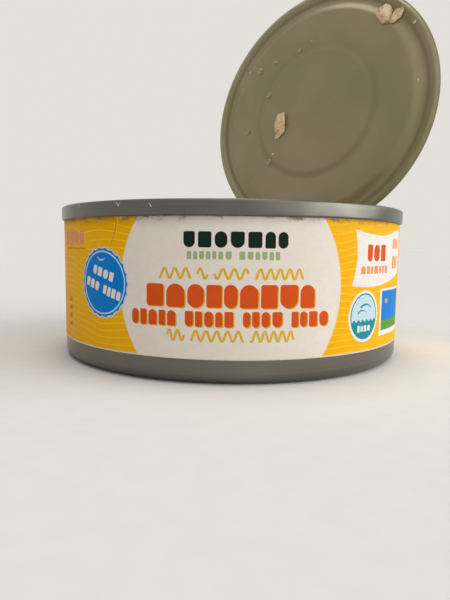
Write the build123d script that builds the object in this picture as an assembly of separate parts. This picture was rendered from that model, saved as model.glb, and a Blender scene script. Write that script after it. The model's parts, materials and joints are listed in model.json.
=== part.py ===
from build123d import *
import os
from math import degrees, radians, sqrt, tan
from random import Random

# An opened can of tuna, in millimetres. +Z is up, the origin is on the floor at the middle of
# the can's base, and the front of the label faces -Y. The can is drawn from one plate, its end
# is double seamed to it, and the cut lid stands up on a bent strip at the rear right.

# ---- Plate and paper
BODY_PLATE = 0.18
END_PLATE = 0.20
SEAM_GAP = 0.02            # sealing compound between two layers of the seam
LABEL_PAPER = 0.12

# ---- Can body and double seam
CAN_HEIGHT = 36.0          # floor to the top of the rim
SEAM_OUTER_RADIUS = 43.65
SEAM_HEIGHT = 3.18
COVER_HOOK = 1.9           # how far the end's edge turns up inside the seam
BODY_HOOK = 1.9            # how far the body's edge turns down inside the seam
BASE_CORNER_RADIUS = 2.2
STAND_RING_WIDTH = 2.2     # the flat ring that the can stands on
STAND_RING_HEIGHT = 1.25   # how far the base panel lies above that ring
STAND_RING_SLOPE = 1.0
STAND_RING_TO_BEAD = 9.5   # in to the edge of the base panel's raised middle
BASE_BEAD_HEIGHT = 0.45
BASE_BEAD_SLOPE = 0.9
BASE_BEND_RADIUS = 0.7
BEND_SLACK = 0.01          # straight plate left between two bends that make a U

# ---- Easy-open end, outside the cut
PANEL_DEPTH = 2.83         # rim top down to the middle of the panel's plate
COUNTERSINK_DEPTH = 1.75   # panel down to the bottom of the groove inside the rim
COUNTERSINK_WIDTH = 1.1
CHUCK_WALL_TAPER = 0.36
CHUCK_WALL_BEND = 1.5
PANEL_WALL_BEND = 0.45
LEDGE_WIDTH = 1.7          # groove's inner wall in to the middle of the cut that frees the lid
CUT_WIDTH = 0.1

# ---- Lid, bent open on an uncut strip
LID_AZIMUTH = 51.8         # of the uncut strip, from +X towards +Y
LID_OPEN_ANGLE = 97.5      # from shut to where it stands
UNCUT_DEPTH = 1.5          # cut's circle in to the bend line of the uncut strip
HINGE_ROLL_RADIUS = 0.3    # the fold along the bend line
HINGE_GAP = 0.05
HINGE_CORNER_RELIEF = 0.5  # trimmed off the lid beside the fold's ends
LID_RIDGE_FROM_EDGE = 1.3  # crest of the fold beside the cut, which stands down into the can
LID_RIDGE_WIDTH = 2.2
LID_RIDGE_DEPTH = 0.35
LID_STEP_FROM_EDGE = 5.1   # top of the slope down to the sunk panel
LID_STEP_SLOPE = 2.3
LID_STEP_DEPTH = 0.7
LID_DISC_RADIUS = 20.6     # the shallower step round the middle
LID_DISC_SLOPE = 1.6
LID_DISC_DEPTH = 0.25
LID_BEND_RADIUS = 0.6
LID_EDGE_BEND = 0.15
CUTTER_HEIGHT = 4.0        # enough to cut through a plate on both sides

# ---- Rivet and pull tab
RIVET_FROM_CUT = 4.5
RIVET_STEM_RADIUS = 1.3
RIVET_HEAD_RADIUS = 2.1
RIVET_HEAD_HEIGHT = 0.35
RIVET_HEAD_ROUNDING = 0.21
RIVET_DIMPLE_RADIUS = 1.0
RIVET_CLEARANCE = 0.05
TAB_LIFT_ANGLE = 22.0      # between the pull tab and the lid
TAB_THICKNESS = 1.2
TAB_SHEET = 0.35
TAB_RING_RADIUS = 8.2
TAB_NOSE_RADIUS = 5.4
TAB_RING_OFFSET = 13.6     # rivet to the middle of the finger ring
TAB_NOSE_OFFSET = 1.2      # rivet to the middle of the nose's curve
TAB_RIM_WIDTH = 2.3
TAB_ISLAND_RADIUS = 2.9
TAB_SLOT_WIDTH = 0.6
TAB_BAR_WIDTH = 2.0        # between the rivet's slot and the finger hole
TAB_NECK_WIDTH = 3.0
TAB_NECK_OVERLAP = 0.3     # neck's run into the curled frame
TAB_EDGE_FLAT = 0.16       # left flat between the two roundings of the curled edge
TAB_STANDOFF = 0.15

# ---- Paper label
LABEL_BOTTOM = 5.1
LABEL_TOP_GAP = 0.12       # below the seam
LABEL_FIT = 0.02
LABEL_OVERLAP_LENGTH = 8.0
LABEL_JOIN_AZIMUTH = 90.0  # where the paper's ends overlap

# ---- Tuna
TUNA_HEADSPACE = 10.4      # rim down to the packed mass between the chunks that stand up
TUNA_SIDE_GAP = 0.1
CHUNK_COUNT = 26
CHUNK_LENGTH = 17.0
CHUNK_WIDTH = 10.0
CHUNK_DEPTH = 8.0
CHUNK_UNEVEN = 0.35        # largest change in a chunk's length and width, as a share
CHUNK_TILT = 9.0
CHUNK_RISE = 1.6           # from the lowest chunk's top to the highest

GOLDEN_ANGLE = 180 * (3 - sqrt(5))

# ---- Worked-out radii of the seam's five layers, at the middle of each plate
LAYER_PITCH = (END_PLATE + BODY_PLATE) / 2 + SEAM_GAP
SEAMING_WALL_R = SEAM_OUTER_RADIUS - END_PLATE / 2
BODY_HOOK_R = SEAMING_WALL_R - LAYER_PITCH
COVER_HOOK_R = BODY_HOOK_R - LAYER_PITCH
BODY_WALL_R = COVER_HOOK_R - LAYER_PITCH
CHUCK_WALL_R = BODY_WALL_R - LAYER_PITCH
BODY_INNER_R = BODY_WALL_R - BODY_PLATE / 2
BODY_OUTER_R = BODY_WALL_R + BODY_PLATE / 2

END_TOP = CAN_HEIGHT - END_PLATE / 2
BODY_TOP = END_TOP - LAYER_PITCH
SEAM_BOTTOM = CAN_HEIGHT - SEAM_HEIGHT
COVER_HOOK_BOTTOM = SEAM_BOTTOM + END_PLATE / 2
PANEL_Z = CAN_HEIGHT - PANEL_DEPTH
STAND_Z = BODY_PLATE / 2
BASE_PANEL_Z = STAND_Z + STAND_RING_HEIGHT
STAND_OUTER_R = BODY_WALL_R - BASE_CORNER_RADIUS
STAND_INNER_R = STAND_OUTER_R - STAND_RING_WIDTH
BASE_BEAD_R = STAND_INNER_R - STAND_RING_TO_BEAD
TUNA_LEVEL = CAN_HEIGHT - TUNA_HEADSPACE

# ---- Worked-out places on the end and its lid
GROOVE_OUTER_R = CHUCK_WALL_R - CHUCK_WALL_TAPER
GROOVE_INNER_R = GROOVE_OUTER_R - COUNTERSINK_WIDTH
CUT_R = GROOVE_INNER_R - LEDGE_WIDTH
OPENING_R = CUT_R + CUT_WIDTH / 2
LID_R = CUT_R - CUT_WIDTH / 2
LID_RIDGE_R = LID_R - LID_RIDGE_FROM_EDGE
LID_STEP_R = LID_R - LID_STEP_FROM_EDGE
HINGE_X = CUT_R - UNCUT_DEPTH
LID_PANEL_Z = -LID_STEP_DEPTH
LID_DISC_Z = LID_PANEL_Z - LID_DISC_DEPTH
RIVET_X = -(CUT_R - RIVET_FROM_CUT)
LID_TOP_FACE = END_PLATE / 2
ISLAND_TOP = LID_TOP_FACE + RIVET_CLEARANCE + TAB_SHEET


def beside(points, radii, distance):
    """The line that runs at a distance to the left of filleted points, bends and all."""
    path = [Vector(*p) for p in points]
    along = [(b - a).normalized() for a, b in zip(path, path[1:])]
    left = [Vector(-d.Y, d.X) for d in along]
    corners = [path[0] + left[0] * distance]
    bends = []
    for i, radius in enumerate(radii):
        mitre = (left[i] + left[i + 1]).normalized()
        corners.append(path[i + 1] + mitre * (distance / mitre.dot(left[i])))
        turns_left = left[i].dot(along[i + 1]) > 0
        bends.append(radius - distance if turns_left else radius + distance)
    corners.append(path[-1] + left[-1] * distance)
    return corners, bends


def turned_plate(points, radii, thickness):
    """A plate whose middle follows (radius, height) points with rounded bends, turned about Z."""
    sides = [beside(points, radii, half) for half in (thickness / 2, -thickness / 2)]
    lines = [FilletPolyline(*corners, radius=bends) for corners, bends in sides]
    caps = [Line(sides[0][0][end], sides[1][0][end]) for end in (0, -1)]
    section = make_face(Wire(lines[0].edges() + lines[1].edges() + ShapeList(caps)))
    return revolve(Plane.XZ * section, Axis.Z)


def to_lid_azimuth(shape):
    """Turns a shape whose bend line lies at +X round to where the lid's bend line is."""
    return Rot(0, 0, LID_AZIMUTH) * shape


def open_lid(shape):
    """Takes a shape on the shut lid, about the lid's centre, to where the lid stands open."""
    bend_line = Pos(HINGE_X, 0, PANEL_Z)
    return to_lid_azimuth(bend_line * Rot(0, LID_OPEN_ANGLE, 0) * Pos(-HINGE_X, 0, 0) * shape)


def make_can_body():
    """Drawn plate: the hook in the seam, the wall, the standing ring and the sunk base."""
    points = [
        (BODY_HOOK_R, BODY_TOP - BODY_HOOK),
        (BODY_HOOK_R, BODY_TOP),
        (BODY_WALL_R, BODY_TOP),
        (BODY_WALL_R, STAND_Z),
        (STAND_INNER_R, STAND_Z),
        (STAND_INNER_R - STAND_RING_SLOPE, BASE_PANEL_Z),
        (BASE_BEAD_R, BASE_PANEL_Z),
        (BASE_BEAD_R - BASE_BEAD_SLOPE, BASE_PANEL_Z + BASE_BEAD_HEIGHT),
        (0, BASE_PANEL_Z + BASE_BEAD_HEIGHT),
    ]
    hook_bend = (BODY_HOOK_R - BODY_WALL_R) / 2 - BEND_SLACK
    radii = [hook_bend, hook_bend, BASE_CORNER_RADIUS] + [BASE_BEND_RADIUS] * 4
    return turned_plate(points, radii, BODY_PLATE)


def beyond_bend_line(offset):
    """A block over the part of the shut lid that lies past the bend line by more than the offset."""
    return Pos(HINGE_X + offset + CUT_R, 0, 0) * Box(2 * CUT_R, 2 * CUT_R, CUTTER_HEIGHT)


def make_end_ring():
    """What stays of the end: the seam's cover, the groove inside the rim and the cut ledge."""
    groove_z = PANEL_Z - COUNTERSINK_DEPTH
    points = [
        (COVER_HOOK_R, COVER_HOOK_BOTTOM + COVER_HOOK),
        (COVER_HOOK_R, COVER_HOOK_BOTTOM),
        (SEAMING_WALL_R, COVER_HOOK_BOTTOM),
        (SEAMING_WALL_R, END_TOP),
        (CHUCK_WALL_R, END_TOP),
        (CHUCK_WALL_R, PANEL_Z),
        (GROOVE_OUTER_R, groove_z),
        (GROOVE_INNER_R, groove_z),
        (GROOVE_INNER_R, PANEL_Z),
        (HINGE_X - HINGE_ROLL_RADIUS, PANEL_Z),
    ]
    hook_bend = (SEAMING_WALL_R - COVER_HOOK_R) / 2 - BEND_SLACK
    top_bend = (SEAMING_WALL_R - CHUCK_WALL_R) / 2 - BEND_SLACK
    groove_bend = COUNTERSINK_WIDTH / 2 - BEND_SLACK
    radii = [hook_bend] * 2 + [top_bend] * 2 + [CHUCK_WALL_BEND] + [groove_bend] * 2 + [PANEL_WALL_BEND]
    ring = turned_plate(points, radii, END_PLATE)
    opening = Cylinder(OPENING_R, CUTTER_HEIGHT) - beyond_bend_line(HINGE_ROLL_RADIUS + HINGE_GAP)
    return ring - to_lid_azimuth(Pos(0, 0, PANEL_Z) * opening)


def make_lid_panel():
    """The cut disc with its ridge and steps, about its own centre, before the bend line."""
    points = [
        (LID_R, 0),
        (LID_RIDGE_R + LID_RIDGE_WIDTH / 2, 0),
        (LID_RIDGE_R, -LID_RIDGE_DEPTH),
        (LID_RIDGE_R - LID_RIDGE_WIDTH / 2, 0),
        (LID_STEP_R, 0),
        (LID_STEP_R - LID_STEP_SLOPE, LID_PANEL_Z),
        (LID_DISC_RADIUS, LID_PANEL_Z),
        (LID_DISC_RADIUS - LID_DISC_SLOPE, LID_DISC_Z),
        (0, LID_DISC_Z),
    ]
    radii = [LID_EDGE_BEND] + [LID_BEND_RADIUS] * 6
    return turned_plate(points, radii, END_PLATE)


def make_rivet():
    """The button drawn up from the lid's own plate, with the dimple under it."""
    seat = Pos(RIVET_X, 0, 0)
    stem_top = ISLAND_TOP + RIVET_CLEARANCE
    stem_height = stem_top + LID_STEP_DEPTH / 2
    stem = Pos(0, 0, stem_top - stem_height / 2) * Cylinder(RIVET_STEM_RADIUS, stem_height)
    head = Pos(0, 0, stem_top + RIVET_HEAD_HEIGHT / 2) * Cylinder(RIVET_HEAD_RADIUS, RIVET_HEAD_HEIGHT)
    head = fillet(head.edges().group_by(Axis.Z)[-1], RIVET_HEAD_ROUNDING)
    dimple_height = stem_height + LID_STEP_DEPTH / 2
    dimple = Pos(0, 0, stem_top - dimple_height / 2) * Cylinder(RIVET_DIMPLE_RADIUS, dimple_height)
    return seat * (stem + head), seat * dimple


def make_lid():
    """The lid: the disc cut off at the bend line, the fold along it and the rivet."""
    panel = make_lid_panel()
    fold_length = 2 * sqrt(LID_R**2 - (HINGE_X + HINGE_ROLL_RADIUS) ** 2)
    bend_line = Pos(HINGE_X, 0, 0)
    fold = bend_line * Rot(90, 0, 0) * Cylinder(HINGE_ROLL_RADIUS, fold_length)
    corners = Box(2 * HINGE_CORNER_RELIEF, 2 * CUT_R, CUTTER_HEIGHT)
    corners -= Box(CUTTER_HEIGHT, fold_length, CUTTER_HEIGHT)
    button, dimple = make_rivet()
    cut_panel = panel - beyond_bend_line(0) - bend_line * corners
    return open_lid(cut_panel + fold + button - dimple)


def tab_outline():
    """Plan of the pull tab about its rivet: the ring end at +X, the narrower nose at -X."""
    ring = Pos(TAB_RING_OFFSET, 0) * Circle(TAB_RING_RADIUS)
    nose = Pos(TAB_NOSE_OFFSET, 0) * Circle(TAB_NOSE_RADIUS)
    return make_hull((ring + nose).edges())


def make_tab_lever():
    """The pull tab's curled frame and thin web, flat, with its middle at z = 0."""
    frame = extrude(tab_outline(), TAB_THICKNESS / 2, both=True)
    slot_radius = TAB_ISLAND_RADIUS + TAB_SLOT_WIDTH
    hole_near_x = slot_radius + TAB_BAR_WIDTH
    hole_far_x = TAB_RING_OFFSET + TAB_RING_RADIUS - TAB_RIM_WIDTH
    hole_half_length = (hole_far_x - hole_near_x) / 2
    hole_half_width = TAB_RING_RADIUS - TAB_RIM_WIDTH
    hole = Pos((hole_far_x + hole_near_x) / 2, 0) * Ellipse(hole_half_length, hole_half_width)
    frame = fillet(frame.edges(), (TAB_THICKNESS - TAB_EDGE_FLAT) / 2)
    frame -= extrude(hole, TAB_THICKNESS, both=True)
    return frame - extrude(Circle(slot_radius), TAB_THICKNESS, both=True)


def make_pull_tab():
    """The lifted lever, the flat island under the rivet's head and the neck between them."""
    nose_x = TAB_NOSE_OFFSET - TAB_NOSE_RADIUS
    neck_end_x = -(TAB_ISLAND_RADIUS + TAB_SLOT_WIDTH + TAB_NECK_OVERLAP)
    bend_z = LID_TOP_FACE + TAB_STANDOFF + TAB_THICKNESS / 2
    lever = Pos(nose_x, 0, bend_z) * Rot(0, -TAB_LIFT_ANGLE, 0) * Pos(-nose_x, 0, 0) * make_tab_lever()
    sheet_z = LID_TOP_FACE + RIVET_CLEARANCE + TAB_SHEET / 2
    island = Pos(0, 0, sheet_z) * Cylinder(TAB_ISLAND_RADIUS, TAB_SHEET)
    neck = Pos(neck_end_x / 2, 0, sheet_z) * Box(-neck_end_x, TAB_NECK_WIDTH, TAB_SHEET)
    bore = Cylinder(RIVET_STEM_RADIUS + RIVET_CLEARANCE, CUTTER_HEIGHT)
    tab = lever + island + neck - bore
    return open_lid(Pos(RIVET_X, 0, 0) * tab)


def make_label():
    """Paper round the wall, glued where its outer end overlaps the inner one."""
    inner = BODY_OUTER_R + LABEL_FIT
    outer = inner + LABEL_PAPER
    height = SEAM_BOTTOM - LABEL_TOP_GAP - LABEL_BOTTOM
    middle = Pos(0, 0, LABEL_BOTTOM + height / 2)
    wrap = Cylinder(outer, height) - Cylinder(inner, height)
    overlap_angle = degrees(LABEL_OVERLAP_LENGTH / outer)
    shell = Cylinder(outer + LABEL_PAPER, height) - Cylinder(outer - LABEL_PAPER / 2, height)
    flap = shell & extrude(wedge(2 * outer, overlap_angle), height / 2, both=True)
    return middle * Rot(0, 0, LABEL_JOIN_AZIMUTH) * (wrap + flap)


def wedge(radius, angle):
    """A triangle from the origin that spans the angle about +X, out to x = radius."""
    half_width = radius * tan(radians(angle / 2))
    return Polygon((0, 0), (radius, -half_width), (radius, half_width), align=None)


def chance(chunk, feature):
    """A repeatable number from -1 to 1 for one chunk and one of its features."""
    return Random(f"{chunk} {feature}").uniform(-1, 1)


def make_chunk(index, side):
    """One block of fish, turned and tipped, on a sunflower spiral across the can."""
    reach = side * sqrt((index + 0.5) / CHUNK_COUNT)
    place = Rot(0, 0, index * GOLDEN_ANGLE) * Pos(reach, 0, 0)
    length = CHUNK_LENGTH * (1 + CHUNK_UNEVEN * chance(index, "length"))
    width = CHUNK_WIDTH * (1 + CHUNK_UNEVEN * chance(index, "width"))
    top = TUNA_LEVEL + CHUNK_RISE * (1 + chance(index, "rise")) / 2
    tips = [CHUNK_TILT * chance(index, way) for way in ("roll", "pitch")]
    turn = Rot(*tips, 180 * chance(index, "heading"))
    return place * Pos(0, 0, top - CHUNK_DEPTH / 2) * turn * Box(length, width, CHUNK_DEPTH)


def make_tuna():
    """The packed fish as one solid that fills the can, with uneven chunks standing in its top."""
    side = BODY_INNER_R - TUNA_SIDE_GAP
    floor = BASE_PANEL_Z + BASE_BEAD_HEIGHT + BODY_PLATE / 2 + TUNA_SIDE_GAP
    plug = Pos(0, 0, (floor + CAN_HEIGHT) / 2) * Cylinder(side, CAN_HEIGHT - floor)
    plug = fillet(plug.edges().group_by(Axis.Z)[0], BASE_CORNER_RADIUS)
    packed = Pos(0, 0, TUNA_LEVEL / 2) * Cylinder(2 * side, TUNA_LEVEL)
    chunks = [make_chunk(index, side) for index in range(CHUNK_COUNT)]
    return plug & (packed + chunks)


def main():
    os.makedirs("parts", exist_ok=True)
    nodes = {
        "can_body": make_can_body(),
        "end_ring": make_end_ring(),
        "lid": make_lid(),
        "pull_tab": make_pull_tab(),
        "label": make_label(),
        "tuna": make_tuna(),
    }
    for name, shape in nodes.items():
        export_step(shape, f"parts/{name}.step")
        print(name, len(shape.solids()), round(shape.volume, 1))
    hinge = to_lid_azimuth(Pos(HINGE_X, 0, PANEL_Z))
    print("bend line at", tuple(round(v, 3) for v in hinge.position))


main()
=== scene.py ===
import json
from math import acos, asin, atan2, ceil, cos, hypot, pi, radians, sin, sqrt, tan
from random import Random

import bmesh
import bpy
import numpy as np
from mathutils import Matrix, Vector, noise
from mathutils.geometry import delaunay_2d_cdt


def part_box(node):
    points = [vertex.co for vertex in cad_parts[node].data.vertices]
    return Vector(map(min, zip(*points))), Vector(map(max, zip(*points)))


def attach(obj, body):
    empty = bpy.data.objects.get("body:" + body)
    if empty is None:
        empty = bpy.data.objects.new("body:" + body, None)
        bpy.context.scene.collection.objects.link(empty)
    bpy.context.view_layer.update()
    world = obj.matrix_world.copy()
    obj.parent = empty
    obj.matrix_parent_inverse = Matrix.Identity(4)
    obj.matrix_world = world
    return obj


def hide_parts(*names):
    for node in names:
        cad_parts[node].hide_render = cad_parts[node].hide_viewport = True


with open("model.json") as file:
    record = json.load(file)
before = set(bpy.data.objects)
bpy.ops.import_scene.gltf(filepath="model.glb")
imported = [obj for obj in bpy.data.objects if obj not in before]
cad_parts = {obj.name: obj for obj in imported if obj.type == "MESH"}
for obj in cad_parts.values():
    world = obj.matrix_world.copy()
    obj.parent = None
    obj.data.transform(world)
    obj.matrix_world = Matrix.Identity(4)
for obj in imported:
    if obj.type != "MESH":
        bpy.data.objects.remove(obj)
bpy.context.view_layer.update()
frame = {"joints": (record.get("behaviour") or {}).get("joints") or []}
MM = 0.001

# ---- Sizes read from the frame, in metres
RIM_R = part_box("end_ring")[1].x
RIM_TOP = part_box("end_ring")[1].z
LABEL_R = -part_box("label")[0].y
LABEL_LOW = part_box("label")[0].z
LABEL_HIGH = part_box("label")[1].z
TUNA_LOW, TUNA_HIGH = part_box("tuna")
BEND = next(joint for joint in frame["joints"] if joint["name"] == "lid_bend")
BEND_AT = Vector(BEND["pos_m"])
BEND_AXIS = Vector(BEND["axis"])
LID_OPEN_ANGLE = radians(-BEND["range_deg"][0])
LID_AZIMUTH = atan2(BEND_AT.y, BEND_AT.x)
BEND_R = hypot(BEND_AT.x, BEND_AT.y)
PANEL_Z = BEND_AT.z

# ---- How finely each turned piece is divided
WALL_COLUMNS = 288
WALL_ROW = 2.5 * MM
SEAM_COLUMNS = 384
SEAM_ROW = 0.8 * MM
LID_COLUMNS = 300
# Shares of the way from the lid's centre to its edge, each with the number of rows up to the next
LID_ROWS = ((0.0, 26), (0.46, 40), (0.80, 90), (1.0, 0))
CORE_COLUMNS = 200
CORE_ROW = 0.8 * MM

# ---- Plate and paper
PAPER = 0.12 * MM
PAPER_FIT = 0.02 * MM
BODY_PLATE = 0.18 * MM
END_PLATE = 0.20 * MM
WALL_R = LABEL_R - PAPER - PAPER_FIT - BODY_PLATE / 2

# ---- Can wall and base
BASE_CORNER = 2.2 * MM
STAND_WIDTH = 2.2 * MM
STAND_HEIGHT = 1.25 * MM
STAND_SLOPE = 1.0 * MM
BEAD_FROM_STAND = 9.5 * MM
BEAD_HEIGHT = 0.45 * MM
BEAD_SLOPE = 0.9 * MM
BASE_BEND = 0.7 * MM
WALL_WAVE = 0.02 * MM

# ---- Seam and the ledge inside it
SEAM_HEIGHT = 3.18 * MM
SEAM_SHOULDER = 0.5 * MM
SEAM_SKIRT = 0.32 * MM
SEAM_RIPPLE = 0.012 * MM
CHUCK_R = WALL_R - 0.21 * MM
CHUCK_TAPER = 0.36 * MM
GROOVE_DEPTH = 1.75 * MM
GROOVE_WIDTH = 1.1 * MM
LEDGE_BEND = 0.45 * MM
LEDGE_WIDTH = 1.7 * MM
GROOVE_R = CHUCK_R - CHUCK_TAPER - GROOVE_WIDTH
CUT_R = GROOVE_R - LEDGE_WIDTH
CUT_GAP = 0.05 * MM
FOLD_R = 0.3 * MM

# ---- Lid
LID_R = CUT_R - CUT_GAP
RIDGE_R = LID_R - 1.3 * MM
RIDGE_HALF = 1.3 * MM
RIDGE_DEPTH = 0.5 * MM
STEP_R = LID_R - 5.1 * MM
STEP_SLOPE = 3.4 * MM
STEP_DEPTH = 1.0 * MM
DISC_R = 20.6 * MM
DISC_SLOPE = 3.2 * MM
DISC_DEPTH = 0.5 * MM
LID_UNEVEN = 0.07 * MM
FOLD_PINCH = 0.35
RIVET_X = -(CUT_R - 4.5 * MM)
RIVET_R = 2.1 * MM
RIVET_RISE = 0.9 * MM
RIVET_HEAD = 0.5 * MM
RIVET_NECK_R = 1.3 * MM
RIVET_FOOT = 0.3 * MM
BUTTON_R = 1.9 * MM
BUTTON_SLOPE = 1.0 * MM
BUTTON_INSIDE = 0.1

# ---- Pull tab, measured from its rivet
TAB_LIFT = radians(22)
TAB_RING_X = 13.6 * MM
TAB_RING_R = 8.2 * MM
TAB_NOSE_X = 1.2 * MM
TAB_NOSE_R = 5.4 * MM
TAB_LEAN = (TAB_RING_R - TAB_NOSE_R) / (TAB_RING_X - TAB_NOSE_X)
TAB_RIM = 2.3 * MM
TAB_HALF = 0.6 * MM
TAB_WEB_HALF = 0.22 * MM
TAB_HOLE_X = 12.5 * MM
TAB_HOLE = (7.0 * MM, 5.9 * MM)
TAB_SLOT_R = 3.5 * MM
TAB_ISLAND_R = 2.9 * MM
TAB_NECK_HALF = 1.5 * MM
TAB_BEND_Z = 0.85 * MM
TAB_SHEET_Z = 0.32 * MM
TAB_SHEET = 0.35 * MM
TAB_INSETS = (0.04 * MM, 0.14 * MM, 0.32 * MM, 0.6 * MM)
TAB_GRID_FROM = (-4.4 * MM, -8.5 * MM)
TAB_GRID_STEP = 0.3 * MM
TAB_GRID_ROWS, TAB_GRID_COLUMNS = 58, 90
TAB_THIN = 0.08 * MM

# ---- Where the lid stands: from its own coordinates when shut, with the bend line at +X
LID_PLACE = (
    Matrix.Translation(BEND_AT)
    @ Matrix.Rotation(LID_OPEN_ANGLE, 4, BEND_AXIS)
    @ Matrix.Translation(-BEND_AT)
    @ Matrix.Rotation(LID_AZIMUTH, 4, "Z")
    @ Matrix.Translation((0, 0, PANEL_Z))
)
RIVET_PLACE = LID_PLACE @ Matrix.Translation((RIVET_X, 0, 0))

# ---- Camera, which looks at the label from close by
CAMERA_AT = Vector((0, -142.3 * MM, 27.1 * MM))
CAMERA_PITCH = radians(-5.90)
CAMERA_TURN = radians(-0.61)
CAMERA_ROLL = radians(0.73)
CAMERA_LENS = 20.91
SENSOR = 24.0


# ======== Colour and material helpers

def srgb(red, green, blue):
    """A colour written as 0-255 screen values, as the linear values that shaders take."""
    def linear(value):
        share = value / 255
        return share / 12.92 if share <= 0.04045 else ((share + 0.055) / 1.055) ** 2.4
    return (linear(red), linear(green), linear(blue), 1.0)


def scaled(colour, factor):
    """A colour made lighter or darker, and never over white."""
    return tuple(min(1.0, factor * c) for c in colour[:3]) + (1.0,)


def add_node(tree, kind, inputs, output=0, **settings):
    """Adds a shader node with its settings, feeds its inputs and returns one of its outputs."""
    node = tree.nodes.new("ShaderNode" + kind)
    for setting, value in settings.items():
        setattr(node, setting, value)
    for socket, value in inputs.items():
        feed(tree, node.inputs[socket], value)
    return node.outputs[output]


def feed(tree, socket, value):
    """Links another node's output to a socket, or sets the socket to a plain value."""
    if isinstance(value, bpy.types.NodeSocket):
        tree.links.new(value, socket)
    else:
        socket.default_value = value


class Look:
    """A Principled material and short calls that add its nodes."""

    def __init__(self, name, **sockets):
        self.material = bpy.data.materials.new(name)
        self.material.use_nodes = True
        self.tree = self.material.node_tree
        self.shader = self.tree.nodes["Principled BSDF"]
        for socket, value in sockets.items():
            self.shader.inputs[socket.replace("_", " ").title().replace("Ior", "IOR")].default_value = value

    def node(self, kind, inputs, output=0, **settings):
        return add_node(self.tree, kind, inputs, output, **settings)

    def place(self, stretch=(1, 1, 1)):
        """Coordinates in the shared frame, stretched."""
        source = self.node("TexCoord", {}, "Object")
        return self.node("Mapping", {"Scale": stretch, "Vector": source})

    def noise(self, scale, detail, coarse, stretch=(1, 1, 1)):
        place = self.place(stretch)
        return self.node("TexNoise", {"Scale": scale, "Detail": detail, "Roughness": coarse, "Vector": place})

    def cells(self, scale):
        return self.node("TexVoronoi", {"Scale": scale, "Vector": self.place()})

    def maths(self, operation, a, b=0.0):
        return self.node("Math", {0: a, 1: b}, operation=operation)

    def product(self, a, b):
        return self.maths("MULTIPLY", a, b)

    def away(self, a, b):
        return self.maths("ABSOLUTE", self.maths("SUBTRACT", a, b))

    def between(self, value, low, high, new_low=0.0, new_high=1.0):
        """A value taken from one range to another, smoothly, and held at its ends."""
        ends = {"From Min": low, "From Max": high, "To Min": new_low, "To Max": new_high, "Value": value}
        return self.node("MapRange", ends, interpolation_type="SMOOTHSTEP")

    def mix(self, share, a, b):
        return self.node("Mix", {0: share, 6: a, 7: b}, 2, data_type="RGBA")

    def height(self):
        """Height over the floor."""
        return self.node("SeparateXYZ", {0: self.place()}, "Z")

    def distance(self, centre):
        """How far a place is from a point in the shared frame."""
        return self.node("VectorMath", {0: self.place(), 1: centre}, "Value", operation="DISTANCE")

    def colour(self, value):
        feed(self.tree, self.shader.inputs["Base Color"], value)

    def rough(self, value):
        feed(self.tree, self.shader.inputs["Roughness"], value)

    def bump(self, height, distance):
        normal = self.node("Bump", {"Distance": distance, "Height": height})
        feed(self.tree, self.shader.inputs["Normal"], normal)


# ======== Mesh helpers

def beside(points, radii, distance):
    """The line that runs at a distance to the left of rounded points, with its bends."""
    path = [Vector(p) for p in points]
    along = [(b - a).normalized() for a, b in zip(path, path[1:])]
    left = [Vector((-d.y, d.x)) for d in along]
    corners = [path[0] + left[0] * distance]
    bends = []
    for i, radius in enumerate(radii):
        mitre = (left[i] + left[i + 1]).normalized()
        corners.append(path[i + 1] + mitre * (distance / mitre.dot(left[i])))
        turns_left = left[i].dot(along[i + 1]) > 0
        bends.append(radius - distance if turns_left else radius + distance)
    corners.append(path[-1] + left[-1] * distance)
    return corners, bends


def turned(x, y, angle):
    """A flat place turned about the origin."""
    return x * cos(angle) - y * sin(angle), x * sin(angle) + y * cos(angle)


def oval(centre, a, b, angles):
    """Points of an ellipse with half axes a and b, at the given angles."""
    return [(centre[0] + a * cos(t), centre[1] + b * sin(t)) for t in angles]


def full_turn(count):
    """Angles evenly round a circle."""
    return [2 * pi * k / count for k in range(count)]


def rounded(points, radii, step=radians(9)):
    """Points along a line through the corners, with an arc in place of each inner corner."""
    path = [Vector(p) for p in points]
    line = [path[0]]
    for i, radius in enumerate(radii):
        before, corner, after = path[i:i + 3]
        come, go = (corner - before).normalized(), (after - corner).normalized()
        turn = acos(max(-1, min(1, come.dot(go))))
        reach = radius * tan(turn / 2)
        side = 1 if come.x * go.y - come.y * go.x > 0 else -1
        start = corner - come * reach
        centre = start + Vector((-come.y, come.x)) * side * radius
        count = max(2, ceil(turn / step) + 1)
        for k in range(count):
            angle = side * turn * k / (count - 1)
            line.append(centre + Vector(turned(*(start - centre), angle)))
    line.append(path[-1])
    return line


def plate_outline(points, radii, thickness):
    """The closed section of a plate whose middle follows the rounded points."""
    sides = [rounded(*beside(points, radii, half)) for half in (thickness / 2, -thickness / 2)]
    return sides[0] + sides[1][::-1]


def subdivided(line, longest, closed=True):
    """The same line with points added so that no stretch is longer than the limit."""
    result = []
    ends = list(zip(line, line[1:] + line[:1])) if closed else list(zip(line, line[1:]))
    for a, b in ends:
        count = max(1, ceil((b - a).length / longest))
        result += [a.lerp(b, k / count) for k in range(count)]
    return result if closed else result + [line[-1]]


def linked(name, data):
    """A scene object for a mesh, a lamp or a camera."""
    holder = bpy.data.objects.new(name, data)
    bpy.context.scene.collection.objects.link(holder)
    return holder


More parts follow.
